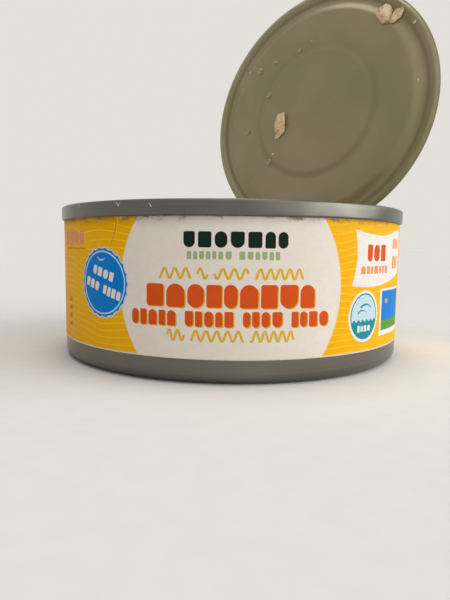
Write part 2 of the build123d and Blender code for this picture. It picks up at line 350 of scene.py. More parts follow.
def new_piece(name, vertices, faces, material, sharp=radians(35)):
    """A mesh object with smooth shading and sharp edges above an angle."""
    mesh = bpy.data.meshes.new(name)
    mesh.from_pydata([tuple(v) for v in vertices], [], faces)
    bm = bmesh.new()
    bm.from_mesh(mesh)
    bmesh.ops.remove_doubles(bm, verts=bm.verts, dist=1e-7)
    bmesh.ops.recalc_face_normals(bm, faces=bm.faces)
    bm.to_mesh(mesh)
    bm.free()
    mesh.shade_smooth()
    mesh.set_sharp_from_angle(angle=sharp)
    mesh.update()
    for look in material if isinstance(material, list) else [material]:
        mesh.materials.append(look)
    return linked(name, mesh)


def grid_faces(rows, columns, close_rows=False, close_columns=True):
    """Quads between the rows and columns of points numbered row by row."""
    faces = []
    for i in range(rows if close_rows else rows - 1):
        for j in range(columns if close_columns else columns - 1):
            k, m = (i + 1) % rows, (j + 1) % columns
            faces.append((i * columns + j, i * columns + m, k * columns + m, k * columns + j))
    return faces


def lathe(outline, columns, wobble=lambda radius, angle, z: (radius, z)):
    """Points and faces of a closed section turned about Z. wobble moves each point."""
    vertices = []
    for point in outline:
        for angle in full_turn(columns):
            radius, z = wobble(point.x, angle, point.y)
            vertices.append((radius * cos(angle), radius * sin(angle), z))
    return vertices, grid_faces(len(outline), columns, close_rows=True)


def both_sides(sheet, count, rim):
    """A sheet's faces, those of its other side, whose points come count later, and quads along
    the rim, given as pairs of points in the order that the sheet's own faces have."""
    faces = [tuple(face) for face in sheet] + [tuple(i + count for i in face[::-1]) for face in sheet]
    return faces + [(b, a, a + count, b + count) for a, b in rim]


def triangulated(points, edges, outlines=()):
    """Flat triangles over the points that keep every edge and outline. Returns points and faces."""
    flat, _, faces, *_ = delaunay_2d_cdt(points, edges, outlines, 0, 1e-5, False)
    return flat, faces


def smooth(value):
    """0 below 0, 1 above 1 and a soft slope between."""
    held = max(0.0, min(1.0, value))
    return held * held * (3 - 2 * held)


# ======== Metal

def steel(name, dark, light, low, high, streaks):
    """Tin-coated plate: fine streaks of rolling and turning, faint cloudiness, small scuffs."""
    look = Look(name, metallic=0.95, roughness=low)
    clouds = look.noise(45, 3, 0.5)
    grain = look.noise(420, 5, 0.7, stretch=streaks)
    scuffs = look.between(look.noise(330, 6, 0.75, stretch=(1, 1, 2.5)), 0.66, 0.74)
    tone = look.maths("ADD", look.product(clouds, 0.5), look.product(grain, 0.5))
    plain = look.mix(look.between(tone, 0.3, 0.7), dark, light)
    look.colour(look.mix(look.product(scuffs, 0.35), plain, scaled(light, 1.5)))
    look.rough(look.between(tone, 0.3, 0.7, low, high))
    look.bump(grain, 0.004 * MM)
    return look.material


def lacquer(name, groove_shading):
    """The inside of the can and lid: tinplate under an olive-grey lacquer, with dried splashes of brine,
    and painted shade darkening it along grooves given as (distance from the lid's centre, half width, share)."""
    look = Look(name, metallic=0.4, roughness=0.38, coat_weight=0.15, coat_roughness=0.3)
    clouds = look.noise(30, 3, 0.5)
    fine = look.noise(1400, 3, 0.6)
    splash = look.between(look.noise(120, 6, 0.62), 0.56, 0.74)
    base = look.mix(look.between(clouds, 0.35, 0.65), srgb(134, 129, 91), srgb(151, 137, 110))
    splashed_and_shaded = look.mix(look.product(splash, 0.25), base, srgb(160, 149, 120))
    from_centre = look.distance(LID_PLACE.translation)
    # Painted shade: the colour is darkened along each groove of the relief, where shade falls in it.
    for radius, half, share in groove_shading:
        groove = look.product(look.between(look.away(from_centre, radius), half, 0), share)
        splashed_and_shaded = look.mix(groove, splashed_and_shaded, srgb(92, 83, 59))
    specks = look.between(look.cells(420), 0.10, 0.05)
    rare = look.between(look.noise(95, 2, 0.5), 0.62, 0.68)
    look.colour(look.mix(look.product(specks, rare), splashed_and_shaded, srgb(172, 161, 134)))
    look.rough(look.between(splash, 0, 1, 0.36, 0.48))
    look.bump(look.maths("ADD", look.product(fine, 0.3), look.product(splash, 0.25)), 0.02 * MM)
    return look.material


MATERIALS = {
    "rim": steel("tinplate_rim", srgb(93, 91, 86), srgb(108, 105, 100), 0.24, 0.32, (0.06, 0.06, 4)),
    "wall": steel("tinplate_wall", srgb(105, 102, 96), srgb(120, 117, 110), 0.27, 0.36, (0.06, 0.06, 5)),
    "lid_back": steel("end_plate_outside", srgb(134, 131, 124), srgb(158, 155, 148), 0.26, 0.38, (1, 1, 1)),
    "tab": steel("tab_plate", srgb(160, 157, 150), srgb(188, 185, 178), 0.2, 0.3, (2, 0.6, 2)),
    "cut": steel("cut_edge", srgb(165, 160, 150), srgb(195, 190, 180), 0.22, 0.32, (1, 1, 1)),
    # Near-white plate for the seam's scratches: real scratches, with a painted glint in their colour.
    "glinting_scratch": steel("scratch_painted_glint", srgb(225, 222, 216), srgb(240, 238, 234), 0.3, 0.4, (1, 1, 1)),
    "inside": lacquer("can_lacquer", ()),
    # The lid's lacquer gets painted shade in the groove inside the ridge and at the disc's edge.
    "lid": lacquer("lid_lacquer_with_groove_shade", ((RIDGE_R - 1.9 * MM, 1.3 * MM, 0.6), (DISC_R + 0.4 * MM, 1.8 * MM, 0.25))),
}


# ======== Can wall, seam and ledge

def make_can_wall():
    """Drawn plate from inside the seam down the wall and across the sunk base."""
    stand_z = BODY_PLATE / 2
    stand_r = WALL_R - BASE_CORNER - STAND_WIDTH
    base_z = stand_z + STAND_HEIGHT
    bead_r = stand_r - BEAD_FROM_STAND
    points = [
        (WALL_R, RIM_TOP - SEAM_HEIGHT + SEAM_SKIRT),
        (WALL_R, stand_z),
        (stand_r, stand_z),
        (stand_r - STAND_SLOPE, base_z),
        (bead_r, base_z),
        (bead_r - BEAD_SLOPE, base_z + BEAD_HEIGHT),
        (0, base_z + BEAD_HEIGHT),
    ]
    outline = plate_outline(points, [BASE_CORNER] + [BASE_BEND] * 4, BODY_PLATE)
    vertices, faces = lathe(subdivided(outline, WALL_ROW), WALL_COLUMNS, wall_wobble)
    piece = new_piece("can_wall", vertices, faces, [MATERIALS["wall"], MATERIALS["inside"]])
    for face in piece.data.polygons:
        inwards = -face.normal.xy.dot(face.center.xy.normalized())
        if face.center.z > stand_z and (inwards > 0.3 or face.normal.z > 0.3):
            face.material_index = 1
    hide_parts("can_body")
    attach(piece, "can")


def wall_wobble(radius, angle, z):
    """Shallow waves that a handled thin wall has, none at the base and seam."""
    free = smooth(z / (4 * MM)) * smooth((RIM_TOP - SEAM_HEIGHT - z) / (4 * MM))
    wave = noise.noise(Vector((3 * cos(angle), 3 * sin(angle), z * 60)))
    return radius + (WALL_WAVE * wave * free if radius > WALL_R - BODY_PLATE else 0), z


def make_seam():
    """The rolled seam as it shows, the groove inside it and the ledge left by the cut."""
    seam_low = RIM_TOP - SEAM_HEIGHT
    wall_out = WALL_R + BODY_PLATE / 2
    chuck_in = CHUCK_R - END_PLATE / 2
    groove_out = CHUCK_R - CHUCK_TAPER
    groove_z = PANEL_Z - GROOVE_DEPTH
    half = END_PLATE / 2
    outside = rounded(
        [(wall_out, seam_low + SEAM_SKIRT), (wall_out, seam_low), (RIM_R, seam_low), (RIM_R, RIM_TOP),
         (chuck_in, RIM_TOP), (chuck_in, PANEL_Z)],
        [0.05 * MM, SEAM_SKIRT, SEAM_SHOULDER, SEAM_SHOULDER - 0.02 * MM])
    plate = [(CHUCK_R, PANEL_Z), (groove_out, groove_z), (GROOVE_R, groove_z), (GROOVE_R, PANEL_Z),
             (CUT_R, PANEL_Z)]
    groove_bend = GROOVE_WIDTH / 2 - 0.01 * MM
    bends = [groove_bend, groove_bend, LEDGE_BEND]
    upper = rounded(*beside(plate, bends, -half))
    lower = rounded(*beside(plate, bends, half))
    inside_top = [Vector((CHUCK_R + half, seam_low + SEAM_SKIRT))]
    section = subdivided(outside[:-1] + upper + lower[::-1] + inside_top, SEAM_ROW)
    vertices = [ring_point(point, angle) for point in section for angle in full_turn(SEAM_COLUMNS)]
    faces = grid_faces(len(section), SEAM_COLUMNS, close_rows=True)
    piece = new_piece("seam_ring", vertices, faces, [MATERIALS["rim"], MATERIALS["lid_back"]])
    for face in piece.data.polygons:
        face.material_index = int(face.center.xy.length < CHUCK_R)
    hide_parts("end_ring")
    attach(piece, "can")


def ring_point(point, angle):
    """A point of the ring's section at an angle. The ledge reaches in to the bend line there."""
    from_bend = (angle - LID_AZIMUTH + pi) % (2 * pi) - pi
    radius = point.x
    strip_edge = BEND_R + FOLD_R + CUT_GAP
    if radius < GROOVE_R and abs(from_bend) < pi / 3:
        inner = min(CUT_R, strip_edge / cos(from_bend))
        share = (GROOVE_R - radius) / (GROOVE_R - CUT_R)
        radius = GROOVE_R - share * (GROOVE_R - inner)
    if point.x > WALL_R:
        radius += SEAM_RIPPLE * noise.noise(Vector((9 * cos(angle), 9 * sin(angle), point.y * 400)))
    return (min(radius, RIM_R) * cos(angle), min(radius, RIM_R) * sin(angle), point.y)


# ======== Lid, in its own coordinates when shut: centre at the origin, bend line at +X

def lid_height(x, y, outer=False):
    """Height of the lid plate's middle over its edge: the ridge, the steps and the rivet's pit."""
    radius = hypot(x, y)
    height = -STEP_DEPTH * smooth((STEP_R - radius) / STEP_SLOPE + 0.2)
    height -= DISC_DEPTH * smooth((DISC_R - radius) / DISC_SLOPE + 0.5)
    height -= RIDGE_DEPTH * smooth(1 - abs(radius - RIDGE_R) / RIDGE_HALF)
    button = smooth((BUTTON_R - hypot(x - RIVET_X, y)) / BUTTON_SLOPE)
    height += (RIVET_RISE if outer else BUTTON_INSIDE * RIVET_RISE) * button
    from_step = smooth((STEP_R - radius) / (6 * MM))
    return height + LID_UNEVEN * from_step * noise.noise(Vector((x, y, 0)) * 60)


def make_lid():
    """The cut disc with both faces, ending at the bend line, and its cut edge."""
    columns = LID_COLUMNS
    shares = [start + (end - start) * k / count
              for (start, count), (end, _) in zip(LID_ROWS, LID_ROWS[1:]) for k in range(count)] + [1.0]
    half = END_PLATE / 2
    faces_of_plate = []
    for side in (-1, 1):
        points = []
        for share in shares:
            for angle in full_turn(columns):
                edge = min(LID_R, BEND_R / cos(angle)) if cos(angle) > 1e-6 else LID_R
                x, y = share * edge * cos(angle), share * edge * sin(angle)
                points.append((x, y, lid_height(x, y, side > 0) + side * half))
        faces_of_plate.append(points)
    below, above = faces_of_plate
    rows = len(shares)
    sheet = [face[::-1] for face in grid_faces(rows, columns)]
    rim = list(range((rows - 1) * columns, rows * columns))
    faces = both_sides(sheet, rows * columns, zip(rim[1:] + rim[:1], rim))
    vertices = [LID_PLACE @ Vector(p) for p in below + above]
    looks = [MATERIALS[name] for name in ("lid", "lid_back", "cut")]
    piece = new_piece("lid_panel", vertices, faces, looks)
    outwards = (LID_PLACE.to_3x3() @ Vector((0, 0, 1))).normalized()
    for face in piece.data.polygons:
        facing = face.normal.dot(outwards)
        face.material_index = 1 if facing > 0.5 else (0 if facing < -0.5 else 2)
    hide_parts("lid")
    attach(piece, "lid")


def make_fold():
    """The plate rolled over along the bend line, pinched a little at its ends."""
    length = sqrt(LID_R**2 - (BEND_R + FOLD_R) ** 2)
    rows, columns = 40, 20
    vertices = []
    for i in range(rows):
        share = 2 * i / (rows - 1) - 1
        radius = FOLD_R * (1 - FOLD_PINCH * smooth((abs(share) - 0.9) * 10))
        for angle in full_turn(columns):
            local = Vector((BEND_R + radius * cos(angle), share * length, radius * sin(angle)))
            vertices.append(LID_PLACE @ local)
    faces = grid_faces(rows, columns)
    faces.append(tuple(range(columns)))
    faces.append(tuple(range((rows - 1) * columns, rows * columns))[::-1])
    piece = new_piece("lid_fold", vertices, faces, MATERIALS["rim"])
    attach(piece, "lid")


def make_rivet():
    """The button that holds the tab, on the lid's outer face."""
    top = RIVET_RISE + END_PLATE
    under = top - RIVET_HEAD
    corners = [(0, top), (RIVET_R, top), (RIVET_R, under), (RIVET_NECK_R, under), (RIVET_NECK_R, RIVET_FOOT),
               (0, RIVET_FOOT)]
    outline = rounded(corners, [0.3 * MM, 0.12 * MM, 0.1 * MM, 0.05 * MM])
    vertices, faces = lathe(outline, 64)
    piece = new_piece("rivet", [RIVET_PLACE @ Vector(v) for v in vertices], faces, MATERIALS["lid_back"])
    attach(piece, "lid")


# ======== Pull tab, flat about its rivet, then lifted

def tab_inside_by(x, y):
    """How far a place is inside the tab's outer edge, outside its finger hole and outside its slot."""
    y = abs(y)
    level = sqrt(1 - TAB_LEAN**2)
    if (x - TAB_RING_X) * level + y * TAB_LEAN > 0:
        outer = TAB_RING_R - hypot(x - TAB_RING_X, y)
    elif (x - TAB_NOSE_X) * level + y * TAB_LEAN < 0:
        outer = TAB_NOSE_R - hypot(x - TAB_NOSE_X, y)
    else:
        outer = TAB_NOSE_R + TAB_LEAN * (x - TAB_NOSE_X) - level * y
    a, b = TAB_HOLE
    across = hypot((x - TAB_HOLE_X) / a, y / b)
    hole = across * (across - 1) / max(1e-6, hypot((x - TAB_HOLE_X) / a**2, y / b**2))
    return outer, hole, hypot(x, y) - TAB_SLOT_R


def tab_half_height(outer, hole):
    """Half the tab's thickness: a curled bead along both edges and a thin web between."""
    def bead(depth):
        return TAB_HALF * sqrt(max(0.0, 1 - (2 * depth / TAB_RIM - 1) ** 2))

    def edge(depth):
        return TAB_HALF * sqrt(1 - (1 - max(0.0, min(1.0, 2 * depth / TAB_RIM))) ** 2)

    return min(max(bead(outer), bead(hole), TAB_WEB_HALF), edge(outer), edge(hole))


def tab_loops():
    """The outlines of the tab's outer edge, finger hole and slot."""
    tilt = asin(TAB_LEAN)
    turn = pi / 2 + tilt
    outer = oval((TAB_RING_X, 0), TAB_RING_R, TAB_RING_R, np.linspace(-turn, turn, 120))
    along = np.linspace(TAB_RING_X - TAB_RING_R * sin(tilt), TAB_NOSE_X - TAB_NOSE_R * sin(tilt), 36)[1:-1]
    side = [(x, TAB_NOSE_R / cos(tilt) + (x - TAB_NOSE_X) * tan(tilt)) for x in along]
    nose = oval((TAB_NOSE_X, 0), TAB_NOSE_R, TAB_NOSE_R, np.linspace(turn, 2 * pi - turn, 70))
    outer += side + nose + [(x, -y) for x, y in side[::-1]]
    hole = oval((TAB_HOLE_X, 0), *TAB_HOLE, full_turn(149))
    return outer, hole, oval((0, 0), TAB_SLOT_R, TAB_SLOT_R, full_turn(89))


def shrunk(loop, distance):
    """A closed loop moved to its left by a small distance."""
    moved = []
    for before, (x, y), after in zip(loop[-1:] + loop[:-1], loop, loop[1:] + loop[:1]):
        dx, dy = after[0] - before[0], after[1] - before[1]
        size = hypot(dx, dy)
        moved.append((x - dy / size * distance, y + dx / size * distance))
    return moved


def make_tab():
    """The lever with curled edges and a thin web, lifted."""
    outer, hole, slot = tab_loops()
    points, edges = [], []
    for loop in (outer, hole, slot):
        first = len(points)
        points += loop
        edges += [(first + k, first + (k + 1) % len(loop)) for k in range(len(loop))]
    for inset in TAB_INSETS:
        points += shrunk(outer, inset) + shrunk(hole, -inset)
    left, low = TAB_GRID_FROM
    for row in range(TAB_GRID_ROWS):
        for column in range(TAB_GRID_COLUMNS):
            x, y = left + TAB_GRID_STEP * (column + 0.5 * (row % 2)), low + TAB_GRID_STEP * row
            depths = tab_inside_by(x, y)
            if min(depths[:2]) > 0.8 * MM and depths[2] > 0.2 * MM:
                points.append((x, y))
    flat, faces = triangulated([Vector(p) / MM for p in points], edges)
    flat = [p * MM for p in flat]
    middles = [sum((flat[i] for i in face), Vector((0, 0))) / 3 for face in faces]
    kept = [face for face, middle in zip(faces, middles) if min(tab_inside_by(*middle)) > 0.003 * MM]
    lift = (Matrix.Translation((TAB_NOSE_X - TAB_NOSE_R, 0, TAB_BEND_Z)) @ Matrix.Rotation(-TAB_LIFT, 4, "Y")
            @ Matrix.Translation((TAB_NOSE_R - TAB_NOSE_X, 0, 0)))
    vertices = []
    for side in (1, -1):
        for point in flat:
            half = tab_half_height(*tab_inside_by(point.x, point.y)[:2])
            on_edge = half < TAB_THIN
            vertices.append(RIVET_PLACE @ lift @ Vector((point.x, point.y, 0 if on_edge else side * half)))
    uses = {}
    for face in kept:
        for ends in zip(face, face[1:] + face[:1]):
            uses.setdefault(frozenset(ends), []).append(ends)
    slot_edge = [ends[0] for ends in uses.values()
                 if len(ends) == 1 and all(abs(tab_inside_by(*flat[i])[2]) < 0.05 * MM for i in ends[0])]
    solid = both_sides(kept, len(flat), slot_edge)
    lever = new_piece("tab_lever", vertices, solid, MATERIALS["tab"], sharp=radians(50))
    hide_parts("pull_tab")
    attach(lever, "lid")


def make_island():
    """The flat disc under the rivet's head, with the neck that bends up into the tab's nose."""
    start = atan2(TAB_NECK_HALF, -sqrt(TAB_ISLAND_R**2 - TAB_NECK_HALF**2))
    angles = np.linspace(-start, start, 60)
    rim = [(x, y, TAB_SHEET_Z) for x, y in oval((0, 0), TAB_ISLAND_R, TAB_ISLAND_R, angles)]
    neck = [(-3.2 * MM, 0.05 * MM), (-3.6 * MM, 0.3 * MM), (-3.9 * MM, 0.6 * MM)]
    left = [(x, TAB_NECK_HALF, TAB_SHEET_Z + rise) for x, rise in neck]
    right = [(x, -TAB_NECK_HALF, TAB_SHEET_Z + rise) for x, rise in neck]
    vertices = [RIVET_PLACE @ Vector((x, y, z + side * TAB_SHEET / 2))
                for side in (1, -1) for x, y, z in rim + left + right]
    last = len(rim) - 1
    tops = [tuple(range(last + 1)), (last, last + 1, last + 4, 0), (last + 1, last + 2, last + 5, last + 4),
            (last + 2, last + 3, last + 6, last + 5)]
    ring = list(range(last + 1)) + [last + 1, last + 2, last + 3, last + 6, last + 5, last + 4]
    faces = both_sides(tops, len(vertices) // 2, zip(ring, ring[1:] + ring[:1]))
    island = new_piece("tab_island", vertices, faces, MATERIALS["tab"])
    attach(island, "lid")


# ======== Label

LINE_SPACING = 1.5 * MM
PAPER_OVERLAP = 4 * MM
JOIN_LENGTH = 9.5 * MM
JOIN_SLOPE = 1.6 * MM
MARKS = ("block", "block", "arch", "bowl", "disc")
INKS = {
    "paper": srgb(234, 226, 215),
    "yellow": srgb(247, 181, 0),
    "blue": srgb(0, 127, 212),
    "pale_blue": srgb(196, 222, 232),
    "white": srgb(236, 232, 226),
    "dark": srgb(16, 38, 30),
    "sage": srgb(160, 178, 132),
    "mustard": srgb(226, 178, 40),
    "orange": srgb(218, 84, 26),
    "peach": srgb(232, 150, 100),
    "teal": srgb(20, 142, 160),
    "green": srgb(96, 150, 60),
    "stain": srgb(120, 84, 40),
    "amber": srgb(206, 142, 10),
}


def ink_look(name, colour):
    """Ink on smooth paper: a slightly uneven film, a fine tooth, and scuffs under the seam."""
    look = Look(f"ink_{name}", roughness=0.5, specular_ior_level=0.08)
    mottle = look.noise(700, 3, 0.6)
    shade = look.between(mottle, 0.3, 0.7)
    tone = look.mix(shade, scaled(colour, 0.96), colour)
    if name == "yellow":
        tone = contour_lines(look, tone)
    look.colour(scuffed(look, tone))
    look.rough(look.between(mottle, 0.3, 0.7, 0.44, 0.56))
    look.bump(look.noise(1500, 2, 0.5), 0.006 * MM)
    return look.material


def contour_lines(look, tone):
    """Thin pale lines that run round the yellow in waves, like heights on a map."""
    sway = look.product(look.noise(33, 2, 0.45), 9.0)
    bands = look.maths("FRACT", look.maths("ADD", sway, look.product(look.height(), 1 / LINE_SPACING)))
    line = look.between(look.away(bands, 0.5), 0.075, 0.03)
    broken = look.between(look.noise(50, 2, 0.5), 0.34, 0.5)
    return look.mix(look.product(look.product(line, broken), 0.62), tone, srgb(255, 218, 84))


def scuffed(look, tone):
    """Grey rubs and white nicks in the paper's top edge, where the seam has caught it."""
    near_top = look.between(look.height(), LABEL_HIGH - 1.3 * MM, LABEL_HIGH - 0.2 * MM)
    rubs = look.between(look.noise(380, 5, 0.7, stretch=(1, 1, 1.6)), 0.52, 0.62)
    nicks = look.between(look.noise(620, 4, 0.7), 0.62, 0.68)
    rubbed = look.mix(look.product(look.product(near_top, rubs), 0.75), tone, srgb(128, 116, 100))
    return look.mix(look.product(near_top, nicks), rubbed, srgb(225, 218, 206))


class Artwork:
    """Closed shapes in millimetres along the label and up it, each over the ones before."""

    def __init__(self):
        self.shapes = []

    def add(self, ink, outline):
        self.shapes.append((ink, [Vector(p) for p in outline]))

    def circle(self, ink, centre, radius, tall=1.0):
        self.add(ink, oval(centre, radius, tall * radius, full_turn(72)))

    def block(self, ink, centre, width, height, corner=0.12):
        """A rectangle with rounded corners."""
        corner = min(corner, width / 2.1, height / 2.1)
        self.rounded_box(ink, centre, width, height, corner, corner, points=4)

    def mark(self, ink, form, centre, width, height, tilt=0.0):
        """One plain shape of a row: a block, one with a round head or foot, or a disc."""
        least = min(0.14 * height, 0.15 * width)
        head = width / 2 if form in ("arch", "disc") else least
        foot = width / 2 if form in ("bowl", "disc") else least
        self.rounded_box(ink, centre, width, height, foot, head, tilt, points=9)

    def rounded_box(self, ink, centre, width, height, foot, head, tilt=0.0, points=9):
        """A box about its centre with a corner radius at its foot and one at its head."""
        outline = []
        corners = ((1, -1, foot, -90), (1, 1, head, 0), (-1, 1, head, 90), (-1, -1, foot, 180))
        for side, up, corner, start in corners:
            tall = min(corner, height / 2)
            for k in range(points):
                angle = radians(start + 90 * k / (points - 1))
                x, y = turned(side * (width / 2 - corner) + corner * cos(angle),
                              up * (height / 2 - tall) + tall * sin(angle), tilt)
                outline.append((centre[0] + x, centre[1] + y))
        self.add(ink, outline)

    def row(self, ink, left, right, low, high, words, gap=0.28, tilt=0.0, seed=0, shade=None):
        """Groups of plain shapes, where the pack has a line of print."""
        rng = Random(seed)
        weights = [[rng.uniform(0.8, 1.25) for _ in range(word)] for word in words]
        total = sum(map(sum, weights)) + 0.7 * (len(words) - 1)
        unit = (right - left) / total
        centre = Vector(((left + right) / 2, (low + high) / 2))
        height, cursor, last = high - low, left, None
        for word in weights:
            for weight in word:
                width = weight * unit
                form = rng.choice([f for f in MARKS if f != last])
                last = form
                spot = centre + Matrix.Rotation(tilt, 2) @ Vector((cursor + width / 2 - centre.x, 0))
                tall = height * rng.uniform(0.94, 1.0)
                if shade:
                    self.mark(shade, form, spot + Vector((0.24, -0.2)), width * (1 - gap), tall, tilt)
                self.mark(ink, form, spot, width * (1 - gap), tall, tilt)
                cursor += width
            cursor += 0.7 * unit

    def waves(self, ink, left, right, low, high, groups, period=1.9, thick=0.5):
        """Groups of a hand-drawn wavy stroke."""
        gap = 1.3
        unit = (right - left - gap * (len(groups) - 1)) / sum(groups)
        cursor = left
        swing = (high - low - thick) / 2
        for size in groups:
            length = size * unit
            turns = max(1, round(length / period))
            upper, lower = [], []
            for t in np.linspace(0, 1, 14 * turns + 1):
                phase = 2 * pi * turns * t + cursor
                x, y = cursor + length * t, (low + high) / 2 + swing * sin(phase)
                slope = swing * 2 * pi * turns / length * cos(phase)
                off = thick / 2 / hypot(1, slope)
                upper.append((x - slope * off, y + off))
                lower.append((x + slope * off, y - off))
            self.add(ink, upper + lower[::-1])
            cursor += length + gap


def label_artwork(half_length, low, high):
    """Everything printed on the label, with the front's middle at zero."""
    art = Artwork()
    art.add("paper", ((-half_length, low), (half_length, low), (half_length, high), (-half_length, high)))
    margin = 0.28
    art.add("yellow", [(-half_length + 1, low + margin), (half_length - 1, low + margin),
                       (half_length - 1, high), (-half_length + 1, high)])
    front_field(art, low, high)
    round_badge(art)
    right_side(art)
    left_side(art)
    back_panel(art, half_length)
    return art


def front_field(art, low, high):
    """The white round field on the front, cut off by the label's edges, and its rows."""
    radius, centre = 23.4, (-0.1, 18.8)
    right_arc = [(centre[0] + sqrt(radius**2 - (z - centre[1]) ** 2), z) for z in np.linspace(low, high, 40)]
    left_arc = [(2 * centre[0] - x, z) for x, z in right_arc[::-1]]
    art.add("paper", right_arc + left_arc)
    art.row("dark", -9.5, 11.3, 26.7, 29.9, (7,), gap=0.2, seed=3)
    art.row("sage", -8.7, 9.6, 24.5, 26.1, (7, 6), gap=0.3, seed=4)
    art.waves("mustard", -14.2, 14.4, 20.6, 23.0, (4, 1.2, 4, 6))
    art.row("orange", -17.3, 17.2, 15.2, 19.8, (9,), gap=0.13, seed=6, shade="mustard")
    art.row("orange", -20.7, 20.5, 11.5, 14.6, (5, 5, 4, 4), gap=0.2, seed=7, shade="mustard")
    art.waves("mustard", -12.5, 12.6, 8.5, 11.0, (2, 6, 5))


def scallops(centre, radius, depth, count, points=8):
    """A circle with shallow rounded teeth."""
    outline = []
    for angle in full_turn(count * points):
        reach = radius - depth * abs(sin(count * angle / 2))
        outline += oval(centre, reach, reach, [angle])
    return outline


def round_badge(art):
    """The blue badge with a toothed edge, a pale ring and two slanting rows."""
    centre, radius, tilt = (-28.9, 19.2), 7.6, radians(-15)
    art.add("pale_blue", scallops(centre, radius, 0.3, 22))
    art.add("blue", scallops(centre, radius - 0.3, 0.3, 22))
    art.circle("pale_blue", centre, radius - 0.95)
    art.circle("blue", centre, radius - 1.25)
    art.row("white", -32.2, -25.2, 20.2, 22.2, (4,), gap=0.25, tilt=tilt, seed=11)
    art.row("white", -34.9, -23.2, 17.0, 19.0, (3, 4), gap=0.25, tilt=tilt, seed=12)
    crescent(art, "pale_blue", (-29.2, 25.2), 1.5, 0.35)
    crack(art)


def crescent(art, ink, centre, radius, thick):
    """A thin curved rub, thickest at its middle."""
    angles = np.linspace(radians(200), radians(330), 16)
    inner = []
    for k in range(14, 0, -1):
        reach = radius - thick * sin(pi * k / 15)
        inner += oval(centre, reach, reach, [angles[k]])
    art.add(ink, oval(centre, radius, radius, angles) + inner)


def crack(art):
    """A fine crease that runs from under the seam down to the badge: a dark stained line, and beside it a
    pale line that is a painted highlight.
    """
    path = [(-24.7 - 1.3 * t + 0.35 * sin(5 * t), 32.5 - 6.4 * t) for t in np.linspace(0, 1, 18)]
    # The peach line set beside the dark one is a painted highlight along the crease.
    for ink, shift, thick in (("stain", 0.0, 0.16), ("peach", 0.2, 0.1)):
        halves = [thick * (1 - 0.6 * k / 17) / 2 for k in range(18)]
        right = [(x + shift + half, z) for (x, z), half in zip(path, halves)]
        left = [(x + shift - half, z) for (x, z), half in zip(path, halves)]
        art.add(ink, right + left[::-1])


def right_side(art):
    """The pennant, the oval badge and the small picture block to the right of the front."""
    along = np.linspace(0, 1, 16)
    top = [(27.1 + 23 * t, 30.8 - 1.3 * sin(pi * min(1, t * 1.15)) + 0.6 * t) for t in along]
    bottom = [(26.4 + 24 * t, 19.2 - 0.5 * sin(2 * pi * t * 0.7) + 1.6 * t * t) for t in along[::-1]]
    left = [(27.1 + 1.1 * sin(pi * t) - 0.7 * t, 30.8 - 11.6 * t) for t in np.linspace(0.9, 0.1, 7)]
    art.add("white", top + bottom + left)
    art.row("orange", 31.0, 39.3, 24.2, 27.8, (3,), gap=0.2, seed=21)
    art.row("peach", 28.9, 40.5, 21.6, 23.3, (7,), gap=0.25, seed=22)
    art.row("peach", 43.4, 48.4, 26.9, 29.3, (3,), gap=0.2, seed=23)
    art.row("peach", 43.4, 48.4, 22.4, 25.4, (3,), gap=0.2, seed=24)
    centre = (30.9, 12.7)
    art.circle("white", centre, 5.1, tall=1.08)
    art.circle("teal", centre, 4.55, tall=1.08)
    art.circle("pale_blue", centre, 4.25, tall=1.08)
    sea_waves(art, centre)
    art.block("white", (44.2, 13.0), 14.0, 10.4, corner=0.2)
    art.block("blue", (44.4, 14.4), 12.8, 6.6, corner=0.15)
    art.block("green", (44.4, 10.0), 12.8, 2.2, corner=0.15)
    art.block("peach", (40.6, 15.4), 1.6, 0.9, corner=0.3)


def sea_waves(art, centre):
    """Water in the lower half of the oval badge, and two plain curved strokes above it."""
    across = np.linspace(centre[0] - 4.1, centre[0] + 4.1, 48)
    crest = [(x, centre[1] - 0.9 + 0.28 * sin(4.4 * x)) for x in across]
    art.add("teal", crest + oval(centre, 4.25, 4.25 * 1.08, np.linspace(radians(-14), radians(-166), 30)))
    for x, y, size, swing in ((0.3, 0.6, 2.5, 0), (-0.9, 0.0, 1.7, 0.2)):
        x, y = centre[0] + x, centre[1] + y
        outer = oval((x, y), size, 0.85 * size, np.linspace(0.5 + swing, 2.5 + swing, 20))
        inner = oval((x + 0.2, y - 0.05), 0.86 * size, 0.72 * size, np.linspace(2.4 + swing, 0.6 + swing, 20))
        art.add("teal", outer + inner)
    art.row("white", centre[0] - 2.4, centre[0] + 2.4, centre[1] - 3.3, centre[1] - 1.9, (4,), seed=31)


def left_side(art):
    """Pale blocks and small amber marks to the left of the badge."""
    art.row("peach", -47.7, -35.5, 27.0, 30.2, (5,), gap=0.18, seed=41)
    art.block("amber", (-41.5, 26.2), 12.0, 0.35)
    for k in range(4):
        art.block("amber", (-44.2, 14.6 - 1.9 * k), 2.2, 1.1)


def back_panel(art, half_length):
    """The hidden side: a plain white panel with thin rules each side of the paper's join."""
    for side, width in ((1, 46), (-1, 40)):
        middle = side * (half_length - 14 - width / 2)
        art.block("paper", (middle, 18.9), width, 23.0, corner=1.6)
        rng = Random(50 + side)
        for k in range(7):
            length = width * rng.uniform(0.55, 0.84)
            art.block("stain", (middle - (width * 0.88 - length) / 2, 27.2 - 2.6 * k), length, 0.42)


def join_lift(u, half_length):
    """How far the paper's outer end stands off the end under it."""
    return PAPER * smooth((u - (half_length - JOIN_LENGTH)) / JOIN_SLOPE)


